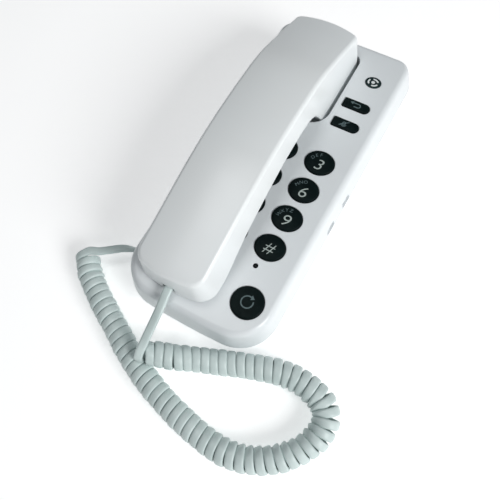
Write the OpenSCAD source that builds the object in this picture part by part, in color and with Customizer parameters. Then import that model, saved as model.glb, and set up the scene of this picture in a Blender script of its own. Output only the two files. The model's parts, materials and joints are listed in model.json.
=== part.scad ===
// Slimline telephone: a base that hangs on a wall or lies on a table, a handset
// that rests on it, and a curly cord between the two.
// Millimetres. +Z points out of the keypad face, +Y runs towards the ear end, and
// the origin is on the table under the middle of the base.

/* [Base] */
// Width of the base at its parting line
base_w = 94; // [92:0.5:98]
// Length of the base at its parting line
base_l = 210; // [208:1:212]
// Height of the keypad face above the table
face_z = 30; // [29.5:0.5:31]
// Height of the line where the two base shells meet
seam_z = 14; // [13.5:0.5:14.5]
// Radius of the base's corners at the mouth end, seen from above
base_corner = 18; // [14:1:20]
// Radius of the base's corners at the ear end
ear_corner = 12; // [11:1:14]
// Wall thickness of every shell
wall = 2.2; // [2:0.1:2.4]
// Height of the rubber feet below the base
foot_h = 2; // [1.5:0.5:2.5]

/* [Keypad] */
// Distance between the three columns of keys
col_pitch = 24.4; // [24:0.2:25]
// Distance between the four rows of keys
row_pitch = 20; // [19.5:0.5:20.5]
// Width of an oval key
key_w = 18.2; // [17:0.2:19]
// Depth of an oval key
key_d = 15.9; // [15:0.2:17]
// Diameter of the round redial key
redial_d = 18.8; // [18:0.2:19.4]
// Length of the two function keys
func_w = 16.9; // [16:0.1:17]
// Width of the two function keys
func_d = 6.7; // [6:0.1:7]
// How far a key stands above the face
key_proud = 1.1; // [0.9:0.1:1.6]
// How far a key travels
key_travel = 1.2; // [0.8:0.1:1.3]

/* [Handset] */
// Position of the handset's centre line
hs_x = -11.5; // [-12:0.5:-10]
// End of the handset at the mouth
mouth_y = -94.8; // [-96:0.2:-94]
// End of the handset at the ear
ear_y = 98.4; // [97.6:0.2:98.6]
// Half width of the handset's top
top_half = 21.5; // [21:0.5:23]
// Radius along the handset's top edges
top_edge = 3; // [2.5:0.5:5]

/* [Cord] */
// Width of the flat cord
cord_w = 5; // [4.8:0.1:5.2]
// Thickness of the flat cord
cord_t = 2.6; // [2.4:0.1:2.8]
// Outer diameter of the curly part
coil_d = 15; // [14:0.5:15]

/* [Hidden] */

// Circles and key outlines
$fn = 48;
// Running gap round a key and round a switch knob
gap = 0.35;
// Thickness of the keypad face
plate_t = 2.5;
plate_z = face_z - plate_t;
// Circuit board and the rubber mat on it
board_t = 1.6;
board_z = face_z - 11.1;
mat_z = board_z + board_t;
// Lip that keeps a key under the face
lip_t = 1.2;
lip_z = plate_z - 0.3 - lip_t;
// Bottom of a key's plunger, clear of the dome under it at full travel
stem_z = mat_z + 2.5 + 0.3 + key_travel;

first_row_y = 13;
KEY_NAMES = ["key_1", "key_2", "key_3", "key_4", "key_5", "key_6", "key_7", "key_8", "key_9",
             "key_star", "key_0", "key_hash"];
function key_at(i) = [(i % 3 - 1) * col_pitch, first_row_y - floor(i / 3) * row_pitch];
redial_at = [29, -80.5];
recall_at = [26.3, 58];
mute_at = [26.3, 43];
badge_at = [28, 78];
lens_at = [22.5, -60];

// How far the middle of the base's mouth end bows out
mouth_bow = 2.5;
// The same at the ear end
ear_bow = 0.5;

// Well in the face that takes the ear cup
well_half = 25.6;
well_y0 = 35.5;
well_y1 = 92.5;
well_corner = 11.5;
well_ear_corner = 5;
well_floor = face_z - 13;
tub_wall = 1.5;

// Case screws: hole, sunk head and the boss round them
screw_hole_r = 1.7;
screw_head_r = 3.3;
boss_r = 3.5;
pilot_r = 1.5;
screw_at = [[14, -95], [-26, -94], [-32, 89], [37, 90]];
board_screw_r = 1.2;
board_screw_at = [[-38.5, -45], [38.5, -45], [-38.5, 15], [38.5, 15]];
foot_at = [[-34, -74], [34, -74], [-34, 72], [34, 72]];
keyhole_y = [-62, 20];
keyhole_r = 4.3;
keyhole_slot = 4.4;
keyhole_run = 8;
sounder_at = [15, -38];
plunger_at = [hs_x, 50];
switch_z = seam_z + 2.6;
ringer_y = 4;
dial_mode_y = -15.5;
base_jack_at = [-34, -80, 13.4];
line_jack_x = 24.5;
line_jack_z = 10.8;
line_jack_y = base_l / 2 - 1;
hs_bow = 3.2;
hs_slot_z = face_z + 6.5;
ear_hole_r = 0.9;
mic_hole_r = 0.75;
foot_r = 5;
hs_screw_y = [-45, 20];
ear_cup_y = 67.5;
mic_y = -68;

// Half width of the handset's lower edge along its length
LOW_HALF = [[-97, 23.6], [-80, 23.6], [-60, 23.4], [-40, 23.4], [-20, 23], [0, 22.5], [20, 22.3],
            [34, 22.4], [46, 23], [60, 23.4], [85, 23.4], [98, 23]];
// Height of the handset's top above the keypad face
TOP_RISE = [[-97, 21], [-90, 22.6], [-80, 24.4], [-70, 26.2], [-57, 28.6], [-45, 30.8], [-30, 33.2],
            [-15, 34.8], [0, 35.4], [15, 35.2], [28, 34.6], [38, 33.8], [46, 32.6], [53, 30.8],
            [60, 28.4], [68, 25.6], [77, 22.4], [86, 19], [93, 16.4], [100, 13.8]];
// Height of the handset's underside above the keypad face
LOW_RISE = [[-97, 0.4], [-78, 0.4], [-70, 2.2], [-60, 6.5], [-45, 12], [-30, 15], [-15, 16.6],
            [0, 17.2], [15, 17], [25, 15.8], [32, 12.4], [37, 6], [40.5, -1], [43, -6], [46, -10],
            [49, -11], [86.5, -11], [88.5, -8], [90.5, 0.5], [100, 0.5]];

// Route of the curly part's centre on the table, from the base's end to the handset's
COIL_ROUTE = [[-76.6, -96.8, 7.5], [-69, -105, 7.5], [-58, -112.5, 7.5], [-46, -119.5, 7.5],
              [-33, -126.5, 7.5], [-21.5, -133, 7.5], [-8.5, -139, 7.5], [7, -144.5, 7.5],
              [22, -148.5, 7.5], [38, -151.5, 7.5], [53, -152.5, 7.5], [64, -150.5, 7.5],
              [73.5, -146, 7.5], [81.5, -140, 7.5], [88, -132, 7.5], [92.5, -123, 7.5],
              [93.5, -115.5, 7.5], [92, -109.5, 7.5], [87, -104.5, 7.5], [79.5, -102, 7.5],
              [70, -100.5, 7.5], [60, -101.5, 7.5], [50, -104.5, 7.5], [40, -108, 7.5],
              [30, -112, 7.6], [22, -115.3, 8.3], [13, -119.1, 10.2], [4.8, -123.2, 12.5],
              [-4.6, -126.4, 15.3]];
// Straight stretch from the base's plug to the curly part
BASE_TAIL = [[-46.5, -80, 13.4], [-51, -79.9, 13.8], [-58, -82, 14.4], [-64.3, -86.8, 14.1],
             [-70.3, -91.4, 13.6], [-76, -95.8, 12.6]];
// Straight stretch from the curly part to the handset's plug
HS_TAIL = [[-5.2, -127, 20.6], [-8.6, -129, 21.6], [-10.8, -127.4, 23.2], [-10.9, -123, 25.3],
           [-10.7, -116, 28], [-10.6, -110, 30.6], [-10.6, -104, 33.2], [-11.4, -96, 36.2],
           [-11.5, -93.6, 36.4]];

// ---- Shapes shared by several pieces ----

// Right half of a rounded rectangle from its low end to its high end
function right_half(hw, y0, y1, r0, r1, n_end, n_cor, n_side) = concat(
    [for (i = [0:n_end - 1]) [(hw - r0) * (i + 0.5) / n_end, y0]],
    [for (i = [0:n_cor]) [hw - r0 + r0 * sin(90 * i / n_cor), y0 + r0 - r0 * cos(90 * i / n_cor)]],
    [for (i = [1:n_side - 1]) [hw, y0 + r0 + (y1 - r1 - y0 - r0) * i / n_side]],
    [for (i = [0:n_cor]) [hw - r1 + r1 * cos(90 * i / n_cor), y1 - r1 + r1 * sin(90 * i / n_cor)]],
    [for (i = [0:n_end - 1]) [(hw - r1) * (n_end - 0.5 - i) / n_end, y1]]);

// Whole outline, counter-clockwise, symmetric about x = 0
function both_halves(h) = concat(h, [for (i = [len(h) - 1:-1:0]) [-h[i][0], h[i][1]]]);

// Bows the two ends of an outline outwards by b0 and b1 at the middle
function bowed(pts, hw, y0, y1, b0, b1) = [for (p = pts)
    let (m = (y0 + y1) / 2, k = 1 - pow(p[0] / hw, 2), f = (p[1] - m) / (y1 - m))
    [p[0], p[1] + k * f * (f < 0 ? b0 : b1)]];

// Closed body through a stack of outlines that all have n points
module loft(rings) {
    n = len(rings[0]);
    last = (len(rings) - 1) * n;
    walls = [for (k = [0:len(rings) - 2]) for (i = [0:n - 1]) let (a = k * n, b = a + n, j = (i + 1) % n)
        [a + i, b + i, b + j, a + j]];
    low_cap = [for (i = [0:n / 2 - 2]) [i, i + 1, n - 2 - i, n - 1 - i]];
    high_cap = [for (i = [0:n / 2 - 2]) [last + i, last + n - 1 - i, last + n - 2 - i, last + i + 1]];
    polyhedron([for (r = rings) for (p = r) p], concat(walls, low_cap, high_cap), convexity = 10);
}

function unit(v) = v / norm(v);
function along(path, i) = unit(path[min(i + 1, len(path) - 1)] - path[max(i - 1, 0)]);

// Tube with an oval section swept along a path: w is its width, t its thickness
module swept(path, w, t, sides) {
    n = len(path);
    rings = [for (i = [0:n - 1])
        let (d = along(path, i), side = unit(cross(d, [0, 0, 1])), up = cross(side, d))
        for (k = [0:sides - 1]) let (a = 360 * (k + 0.5) / sides)
        path[i] + side * cos(a) * w / 2 + up * sin(a) * t / 2];
    walls = [for (i = [0:n - 2]) for (k = [0:sides - 1])
        let (a = i * sides, b = a + sides, j = (k + 1) % sides)
        [a + k, a + j, b + j, b + k]];
    start = [for (k = [sides - 1:-1:0]) k];
    stop = [for (k = [0:sides - 1]) (n - 1) * sides + k];
    polyhedron(rings, concat(walls, [start], [stop]), convexity = 10);
}

module oval(w, d) {
    polygon([for (i = [0:39]) [w / 2 * cos(9 * i), d / 2 * sin(9 * i)]]);
}

// Function key outline: square at the left, round at the right, grown by g
module d_shape(g) {
    translate([func_w / 2 - func_d / 2, 0]) circle(r = func_d / 2 + g);
    translate([-func_w / 2 - g, -func_d / 2 - g]) square([func_w - func_d / 2 + g, func_d + 2 * g]);
}

module rounded_plate(x0, y0, x1, y1, r, t) {
    linear_extrude(t) {
        translate([x0 + r, y0]) square([x1 - x0 - 2 * r, y1 - y0]);
        translate([x0, y0 + r]) square([x1 - x0, y1 - y0 - 2 * r]);
        for (x = [x0 + r, x1 - r]) for (y = [y0 + r, y1 - r]) translate([x, y]) circle(r);
    }
}

module box(x0, y0, z0, x1, y1, z1) {
    translate([x0, y0, z0]) cube([x1 - x0, y1 - y0, z1 - z0]);
}

module at(p, z) {
    translate([p[0], p[1], z]) children();
}

// Pan-head screw standing on its head
module screw(shank_r, shank_l, head_r, head_h) {
    cylinder(r = head_r, h = head_h);
    translate([0, 0, head_h]) cylinder(r = shank_r, h = shank_l);
}

// ---- Base ----

// Outline of the base at height z, set in by e from its widest
function base_ring(e, z) =
    let (hw = base_w / 2 - e, y0 = -base_l / 2 + e + mouth_bow, y1 = base_l / 2 - e - ear_bow,
         half = right_half(hw, y0, y1, base_corner - e, ear_corner - e, 3, 6, 2))
    [for (p = bowed(both_halves(half), hw, y0, y1, mouth_bow, ear_bow))
        [p[0], p[1], z]];

module base_lower_shell() {
    color("white") difference() {
        union() {
            loft([base_ring(3.4, foot_h), base_ring(2.2, foot_h + 1.2), base_ring(0, seam_z - 0.6),
                  base_ring(0.4, seam_z - 0.05), base_ring(wall + 0.4, seam_z - 0.05),
                  base_ring(wall + 2.4, foot_h + 2.5)]);
            for (p = screw_at) at(p, foot_h + 1) cylinder(r = boss_r + 0.7, h = 3);
            at(plunger_at, foot_h + 1) cylinder(r = 2, h = 5);
        }
        for (p = screw_at) {
            at(p, 0) cylinder(r = screw_hole_r, h = 8);
            at(p, 0) cylinder(r = screw_head_r, h = foot_h + 2);
        }
        for (p = foot_at) at(p, 0) cylinder(r = foot_r + 0.2, h = foot_h + 1);
        for (y = keyhole_y) {
            translate([0, y, 0]) cylinder(r = keyhole_r, h = 8);
            translate([0, y + keyhole_run, 0]) cylinder(r = keyhole_slot / 2, h = 8);
            box(-keyhole_slot / 2, y, 0, keyhole_slot / 2, y + keyhole_run, 8);
        }
        for (i = [-2:2]) box(sounder_at[0] - 8, sounder_at[1] + 4 * i - 0.8, 0,
                             sounder_at[0] + 8, sounder_at[1] + 4 * i + 0.8, 8);
        jack_openings();
    }
}

// Openings in the base walls for the two jacks
module jack_openings() {
    box(-60, base_jack_at[1] - 4.2, base_jack_at[2] - 3.1, -40, base_jack_at[1] + 4.2, base_jack_at[2] + 3.1);
    box(line_jack_x - 5.4, line_jack_y - 6, line_jack_z - 3.9,
        line_jack_x + 5.4, line_jack_y + 6, line_jack_z + 3.9);
}

module well_outline(g) {
    translate([hs_x, 0]) polygon(both_halves(right_half(well_half + g, well_y0 - g, well_y1 + g,
                                                        well_corner + g, well_ear_corner + g, 1, 8, 2)));
}

// Slot for a switch knob and the finger recess round it
module knob_opening(y) {
    box(40, y - 3.4 - gap, switch_z - 1.4 - gap, 60, y + 3.4 + gap, switch_z + 1.4 + gap);
    box(45.4, y - 5.5, switch_z - 2.3, 60, y + 5.5, switch_z + 2.6);
}

module base_upper_shell() {
    color("white") difference() {
        union() {
            loft([base_ring(7.2, plate_z), base_ring(wall + 2.6, plate_z - 1.8),
                  base_ring(wall + 0.3, seam_z + 0.05),
                  base_ring(0.3, seam_z + 0.05), base_ring(0, seam_z + 0.6), base_ring(2.2, face_z - 4),
                  base_ring(2.55, face_z - 2.3), base_ring(3.5, face_z - 1.0), base_ring(4.8, face_z - 0.25),
                  base_ring(6.2, face_z)]);
            translate([0, 0, well_floor - 2])
                linear_extrude(face_z - 0.5 - well_floor + 2) well_outline(tub_wall);
            for (p = screw_at) at(p, foot_h + 4.2) cylinder(r = boss_r, h = plate_z + 0.5 - foot_h - 4.2);
            for (p = board_screw_at) at(p, mat_z + 0.05) cylinder(r = 2.8, h = plate_z - mat_z + 0.4);
        }
        translate([0, 0, well_floor]) linear_extrude(20) well_outline(0);
        for (i = [0:11]) at(key_at(i), lip_z) linear_extrude(10) oval(key_w + 2 * gap, key_d + 2 * gap);
        at(redial_at, lip_z) cylinder(r = redial_d / 2 + gap, h = 10);
        at(recall_at, lip_z) linear_extrude(10) d_shape(gap);
        at(mute_at, lip_z) linear_extrude(10) d_shape(gap);
        at(lens_at, lip_z) cylinder(r = 1.5, h = 10);
        at(badge_at, face_z - 0.5) linear_extrude(2) oval(10.4, 8.4);
        for (p = screw_at) at(p, 0) cylinder(r = pilot_r, h = foot_h + 4.2 + 9);
        for (p = board_screw_at) at(p, mat_z) cylinder(r = 1.1, h = 5);
        at(plunger_at, 0) cylinder(r = 4.3, h = face_z);
        knob_opening(ringer_y);
        knob_opening(dial_mode_y);
        jack_openings();
    }
}

module rubber_feet() {
    color("dimgray") for (p = foot_at) at(p, 0) {
        cylinder(r = foot_r - 0.4, h = 0.6);
        translate([0, 0, 0.6]) cylinder(r = foot_r, h = foot_h + 0.35);
    }
}

module base_screws() {
    color("silver") for (p = screw_at) at(p, foot_h + 0.1) screw(1.45, 10, 3.1, 1.8);
}

// ---- Inside the base ----

module main_circuit_board() {
    color("darkgreen") translate([0, 0, board_z]) difference() {
        union() {
            rounded_plate(-41.5, -85.5, 41.5, 27, 2, board_t);
            rounded_plate(18.5, 20, 41.5, 70, 2, board_t);
        }
        for (p = board_screw_at) at(p, -1) cylinder(r = board_screw_r, h = 5);
    }
}

module board_screws() {
    color("silver") for (p = board_screw_at) at(p, board_z - 1.35) screw(1, 6, 2.2, 1.3);
}

module dialler_chip() {
    color("black") {
        box(-20, -50, board_z - 2.4, -6, -43, board_z);
        for (i = [0:6]) for (y = [-51.2, -43.1])
            box(-19.5 + 2 * i, y, board_z - 2, -18.7 + 2 * i, y + 1.3, board_z - 0.05);
    }
}

module capacitors() {
    color("midnightblue") for (p = [[18, -4], [26, -8], [24, 4]]) at(p, board_z - 9.5) {
        cylinder(r = 2.9, h = 9.2);
        for (x = [-1, 1]) translate([x, 0, 9.2]) cylinder(r = 0.3, h = 0.3);
    }
}

module line_transformer() {
    color("goldenrod") {
        box(-24, -22, board_z - 11.5, -8, -8, board_z - 3.5);
        box(-21, -24, board_z - 9.5, -11, -6, board_z - 5.5);
        for (x = [-22, -10]) for (y = [-20, -10])
            translate([x, y, board_z - 3.5]) cylinder(r = 0.5, h = 3.45);
    }
}

module keypad_mat() {
    color("gainsboro") difference() {
        union() {
            translate([0, 0, mat_z]) rounded_plate(-35, -85.2, 35, 25, 3, 1);
            translate([0, 0, mat_z]) rounded_plate(18.8, 15, 35, 65, 2, 1);
            for (i = [0:11]) at(key_at(i), mat_z) cylinder(r = 4, h = 2.5);
            for (p = [redial_at, recall_at, mute_at]) at(p, mat_z) cylinder(r = 2.8, h = 2.5);
        }
        at(lens_at, 0) cylinder(r = 2.2, h = 40);
    }
}

module sounder() {
    color("dimgray") at(sounder_at, foot_h + 2.55) {
        difference() {
            cylinder(r = 12, h = 6);
            translate([0, 0, -1]) cylinder(r = 9.5, h = 3);
        }
        translate([0, 0, 2.3]) cylinder(r = 9.4, h = 0.4);
    }
}

module hook_switch() {
    color("black") {
        box(hs_x + 6, 44, foot_h + 2.5, hs_x + 13, 56, foot_h + 6);
        box(hs_x + 8, 48.5, foot_h + 6, hs_x + 11, 51.5, foot_h + 6.7);
    }
}

// Coil spring drawn as a stack of open rings inside a thin sleeve
module hook_spring() {
    color("silver") at(plunger_at, foot_h + 2.55) difference() {
        for (i = [0:5]) translate([0, 0, 2 * i]) cylinder(r = 3, h = 1.95);
        translate([0, 0, -1]) cylinder(r = 2.4, h = 20);
    }
}

module hook_plunger() {
    color("white") difference() {
        union() {
            at(plunger_at, foot_h + 7) cylinder(r = 4, h = face_z - 11 - 0.4 - foot_h - 7);
            at(plunger_at, foot_h + 7) cylinder(r = 5.4, h = 1.2);
            box(hs_x, 48, foot_h + 7, hs_x + 12, 52, foot_h + 8.2);
        }
        at(plunger_at, 0) cylinder(r = 3.2, h = foot_h + 14.6);
    }
}

// ---- Jacks, plugs and switches ----

// Open-fronted block: outer size, then the socket cut into the face at y = 0
module jack_block(w, l, h, sock_w, sock_h, sock_l) {
    difference() {
        translate([-w / 2, 0, -h / 2]) cube([w, l, h]);
        translate([-sock_w / 2, -1, -sock_h / 2]) cube([sock_w, sock_l + 1, sock_h]);
    }
}

module line_jack() {
    color("black") translate([line_jack_x, line_jack_y, line_jack_z]) mirror([0, 1, 0]) {
        jack_block(10.6, 5.5, 7.6, 9.7, 6.7, 11);
        translate([0, 5.6, 0]) jack_block(14.6, 9, 11.4, 9.7, 6.7, 6);
    }
}

module base_cord_jack() {
    color("black") translate([-42.6, base_jack_at[1], base_jack_at[2]]) rotate([0, 0, -90])
        jack_block(11, 12.5, 9.8, 7.7, 5.6, 11);
}

// Clear four-way plug, pointing along +y, with its latch on top
module modular_plug(l) {
    translate([-3.6, 0, -2.6]) cube([7.2, l, 4.4]);
    translate([-1.6, 1.5, 1.8]) cube([3.2, l - 2.5, 0.6]);
}

module base_cord_plug() {
    color("aliceblue") translate([BASE_TAIL[0][0], base_jack_at[1], base_jack_at[2]]) rotate([0, 0, -90])
        modular_plug(14.5);
}

module switch_body(y) {
    difference() {
        box(36.5, y - 5, switch_z - 2.2, 43.2, y + 5, board_z - 0.05);
        box(40, y - 3.4 - gap, switch_z - 1.4 - gap, 50, y + 3.4 + gap, switch_z + 1.4 + gap);
    }
}

module switch_knob(y) {
    box(40.4, y - 1.9, switch_z - 1.4, 45.2, y + 1.9, switch_z + 1.4);
    for (i = [-1:1]) box(45.2, y + 1.2 * i - 0.35, switch_z - 1.4, 46, y + 1.2 * i + 0.35, switch_z + 1.4);
}

module ringer_switch_body() { color("black") switch_body(ringer_y); }
module dial_mode_switch_body() { color("black") switch_body(dial_mode_y); }
module ringer_switch_knob() { color("dimgray") switch_knob(ringer_y); }
module dial_mode_switch_knob() { color("dimgray") switch_knob(dial_mode_y - 1.5); }

module indicator_lens() {
    color("maroon") at(lens_at, mat_z) {
        cylinder(r = 1.9, h = 1.2);
        cylinder(r = 1.3, h = face_z - mat_z - 1);
        translate([0, 0, face_z - mat_z - 1]) sphere(r = 1.3);
    }
}

module face_badge() {
    color("black") at(badge_at, face_z - 0.45) linear_extrude(0.65) oval(10, 8);
}

// ---- Keys ----

// Key built from its outline: children take the amount that the outline grows by
module key_cap() {
    color("black") {
        translate([0, 0, lip_z]) linear_extrude(lip_t) children(1);
        translate([0, 0, lip_z]) linear_extrude(face_z + key_proud - 0.5 - lip_z) children(0);
        translate([0, 0, face_z + key_proud - 0.5]) linear_extrude(0.5) children(2);
        translate([0, 0, stem_z]) cylinder(r = 2.4, h = lip_z - stem_z + 0.1);
    }
}

module number_key(i) {
    at(key_at(i), 0) key_cap() {
        oval(key_w, key_d);
        oval(key_w + 2.4, key_d + 2.4);
        oval(key_w - 1.6, key_d - 1.6);
    }
}

module function_key(p) {
    at(p, 0) key_cap() {
        d_shape(0);
        d_shape(0.9);
        d_shape(-0.5);
    }
}

module key_redial() {
    at(redial_at, 0) key_cap() {
        circle(d = redial_d);
        circle(d = redial_d + 2.4);
        circle(d = redial_d - 1.6);
    }
}

module key_recall() { function_key(recall_at); }
module key_mute() { function_key(mute_at); }

// ---- Handset ----

// Outline of the handset between its lower edge (s = 0) and its top edge (s = 1),
// set in by e, at the share h of the height from underside to top, raised by dz
function hs_ring(s, e, h, dz) =
    let (hw = 24 - e, y0 = mouth_y + hs_bow + e, y1 = ear_y - hs_bow - e, r = 10 - 2 * s - e,
         half = right_half(hw, y0, y1, r, r, 2, 5, 26))
    [for (p = bowed(both_halves(half), hw, y0, y1, hs_bow, hs_bow))
        let (w = (lookup(p[1], LOW_HALF) * (1 - s) + top_half * s - e) / hw)
        [hs_x + p[0] * w, p[1],
         face_z + (1 - h) * lookup(p[1], LOW_RISE) + h * lookup(p[1], TOP_RISE) + dz]];

// Outline round the top edge, a degrees up its rounding
function edge_ring(a) = hs_ring(1, top_edge * (1 - cos(a)), 1, -top_edge * (1 - sin(a)));

module handset_top_shell() {
    color("white") difference() {
        union() {
            loft([hs_ring(1, top_edge + 1, 1, -wall), hs_ring(1, wall + 0.6, 1, -wall - 1.4),
                  hs_ring(0, wall, 0, 1.65), hs_ring(0, 0, 0, 1.65), hs_ring(1, 0, 1, -top_edge),
                  edge_ring(30), edge_ring(60), edge_ring(90)]);
            for (y = hs_screw_y) translate([hs_x, y, face_z + lookup(y, LOW_RISE) + 4.2])
                cylinder(r = boss_r - 0.1, h = lookup(y, TOP_RISE) - lookup(y, LOW_RISE) - 5.2);
        }
        for (y = hs_screw_y) translate([hs_x, y, face_z + lookup(y, LOW_RISE)]) cylinder(r = pilot_r, h = 14);
        box(hs_x - 4, mouth_y - 5, hs_slot_z - 2.8, hs_x + 4, mouth_y + 10, hs_slot_z + 2.6);
    }
}

module handset_bottom_shell() {
    color("white") difference() {
        loft([hs_ring(0, 1.2, 0, 0), hs_ring(0, 0, 0, 1), hs_ring(0, 0, 0, 1.6),
              hs_ring(0, wall, 0, 1.6), hs_ring(0, wall + 1.6, 0, wall)]);
        for (y = hs_screw_y) translate([hs_x, y, face_z + lookup(y, LOW_RISE) - 5]) {
            cylinder(r = screw_hole_r, h = 12);
            cylinder(r = screw_head_r, h = 5.6);
        }
        translate([hs_x, ear_cup_y, 0]) {
            cylinder(r = ear_hole_r, h = face_z);
            for (i = [0:5]) rotate([0, 0, 60 * i]) translate([4, 0, 0]) cylinder(r = ear_hole_r, h = face_z);
            for (i = [0:11]) rotate([0, 0, 30 * i]) translate([8, 0, 0]) cylinder(r = ear_hole_r, h = face_z);
        }
        for (i = [-2:2]) translate([hs_x + 3 * i, mic_y, face_z]) cylinder(r = mic_hole_r, h = 10);
    }
}

module handset_screws() {
    color("silver") for (y = hs_screw_y)
        translate([hs_x, y, face_z + lookup(y, LOW_RISE) - 1.2]) screw(1.45, 10, 3.1, 1.7);
}

module receiver_gasket() {
    color("black") translate([hs_x, ear_cup_y, face_z - 11 + wall + 0.5]) difference() {
        cylinder(r = 16, h = 1.5);
        translate([0, 0, -1]) cylinder(r = 13, h = 4);
    }
}

module receiver() {
    color("silver") translate([hs_x, ear_cup_y, face_z - 11 + wall + 2.05]) {
        cylinder(r = 16.5, h = 3);
        translate([0, 0, 3]) cylinder(r = 11, h = 5);
    }
}

module microphone() {
    color("silver") translate([hs_x, mic_y, face_z + 9.8]) cylinder(r = 4.85, h = 4.5);
}

module microphone_boot() {
    color("black") translate([hs_x, mic_y, face_z + 8.6]) difference() {
        cylinder(r = 6.5, h = 5);
        translate([0, 0, 1.15]) cylinder(r = 4.9, h = 10);
        translate([0, 0, -1]) cylinder(r = 2, h = 5);
    }
}

module handset_weight() {
    color("gray") translate([0, 0, face_z + 20]) rounded_plate(hs_x - 9, -34, hs_x + 9, 11, 3, 6);
}

module handset_cord_jack() {
    color("black") translate([hs_x, mouth_y + 4.6, hs_slot_z - 0.1]) jack_block(11, 10.8, 7, 7.7, 5.6, 10);
}

module handset_cord_plug() {
    color("aliceblue") translate([hs_x, HS_TAIL[len(HS_TAIL) - 1][1] + 0.3, hs_slot_z])
        modular_plug(11.7);
}

// ---- Cord ----

module cord_base_tail() { color("lightgray") swept(BASE_TAIL, cord_w, cord_t, 8); }
module cord_handset_tail() { color("lightgray") swept(HS_TAIL, cord_w, cord_t, 8); }
module cord_coil() {
    color("lightgray") swept(COIL_ROUTE, coil_d, coil_d, 10);
}

base_lower_shell();
base_upper_shell();
rubber_feet();
base_screws();
main_circuit_board();
board_screws();
dialler_chip();
capacitors();
line_transformer();
keypad_mat();
sounder();
hook_switch();
hook_spring();
hook_plunger();
line_jack();
base_cord_jack();
base_cord_plug();
ringer_switch_body();
ringer_switch_knob();
dial_mode_switch_body();
dial_mode_switch_knob();
indicator_lens();
face_badge();
number_key(0);  // key_1
number_key(1);  // key_2
number_key(2);  // key_3
number_key(3);  // key_4
number_key(4);  // key_5
number_key(5);  // key_6
number_key(6);  // key_7
number_key(7);  // key_8
number_key(8);  // key_9
number_key(9);  // key_star
number_key(10);  // key_0
number_key(11);  // key_hash
key_redial();
key_recall();
key_mute();
handset_top_shell();
handset_bottom_shell();
handset_screws();
receiver();
receiver_gasket();
microphone();
microphone_boot();
handset_weight();
handset_cord_jack();
handset_cord_plug();
cord_base_tail();
cord_coil();
cord_handset_tail();
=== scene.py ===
import json
import math

import bmesh
import bpy
import numpy as np
from mathutils import Matrix, Vector


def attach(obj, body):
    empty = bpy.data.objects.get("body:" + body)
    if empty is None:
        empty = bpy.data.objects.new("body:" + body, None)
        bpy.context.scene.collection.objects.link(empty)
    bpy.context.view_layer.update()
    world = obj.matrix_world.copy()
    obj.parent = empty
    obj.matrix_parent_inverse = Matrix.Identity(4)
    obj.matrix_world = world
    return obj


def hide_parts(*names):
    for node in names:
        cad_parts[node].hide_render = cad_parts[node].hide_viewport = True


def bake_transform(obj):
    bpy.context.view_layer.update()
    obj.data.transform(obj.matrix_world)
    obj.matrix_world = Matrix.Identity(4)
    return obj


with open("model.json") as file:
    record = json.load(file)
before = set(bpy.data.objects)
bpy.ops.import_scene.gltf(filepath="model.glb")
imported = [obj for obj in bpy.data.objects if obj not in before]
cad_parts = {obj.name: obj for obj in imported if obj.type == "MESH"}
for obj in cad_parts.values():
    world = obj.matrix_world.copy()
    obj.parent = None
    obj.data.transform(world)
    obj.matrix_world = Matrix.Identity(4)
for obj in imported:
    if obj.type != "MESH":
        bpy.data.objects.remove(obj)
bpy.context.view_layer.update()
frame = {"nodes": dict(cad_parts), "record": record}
MM = 0.001


# ---------------------------------------------------------
# Sizes repeated from the part's source, in millimetres
# ---------------------------------------------------------
BASE_W, BASE_L, FACE_Z, SEAM_Z, FOOT_H = 94.0, 210.0, 30.0, 14.0, 2.0
EAR_CORNER, MOUTH_BOW, EAR_BOW = 12.0, 2.5, 0.5
WALL, PLATE_Z = 2.2, 27.5
COL, ROW, FIRST_ROW = 24.4, 20.0, 13.0
LIP_Z, LIP_T = 26.0, 1.2
REDIAL_AT, RECALL_AT, MUTE_AT = (29.0, -80.5), (26.3, 58.0), (26.3, 43.0)
BADGE_AT, LENS_AT, PLUNGER_AT = (28.0, 78.0), (22.5, -60.0), (-11.5, 50.0)
HS_X, MOUTH_Y, EAR_Y, HS_BOW = -11.5, -94.8, 98.4, 3.2
WELL_HALF, WELL_Y0, WELL_Y1, WELL_CORNER, WELL_EAR_CORNER, WELL_FLOOR = 25.6, 35.5, 92.5, 11.5, 5.0, 17.0
SCREW_AT = [(14, -95), (-26, -94), (-32, 89), (37, 90)]
FOOT_AT = [(-34, -74), (34, -74), (-34, 72), (34, 72)]
SCREW_HOLE_R, FOOT_HOLE_R = 3.3, 5.2
HS_SCREW_Y = (-45.0, 20.0)
EAR_CUP_Y, MIC_Y = 67.5, -68.0
SWITCH_Z, RINGER_Y, MODE_Y = 16.6, 4.0, -15.5
BASE_JACK = (-80.0, 13.4)
LINE_JACK = (24.5, 104.0, 10.8)
KEYHOLE_Y, KEYHOLE_R, KEYHOLE_SLOT, KEYHOLE_RUN = (-62.0, 20.0), 4.3, 4.4, 8.0
SOUNDER_AT = (15.0, -38.0)
CORD_W, CORD_T, COIL_R, COIL_PITCH = 5.0, 2.6, 6.12, 5.16

# Sizes a little off the source's, so that the render looks as photographed
MOUTH_CORNER = 22.0                                   # base's corners at the mouth end, 18 in the source
GAP, KEY_W, KEY_D, REDIAL_D = 0.22, 17.9, 15.7, 18.5  # keys up to 0.3 smaller, in narrower gaps
FUNC_W, FUNC_D = 16.8, 6.6
TOP_HALF, SLOT_Z = 21.0, 35.3                         # 21.5 and 36.5 in the source
CROWN, MOUTH_DRAFT, EAR_DRAFT, EDGE = 1.5, 1.1, 0.6, 2.4  # no crown or drafts, and an edge of 3, in the source

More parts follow.
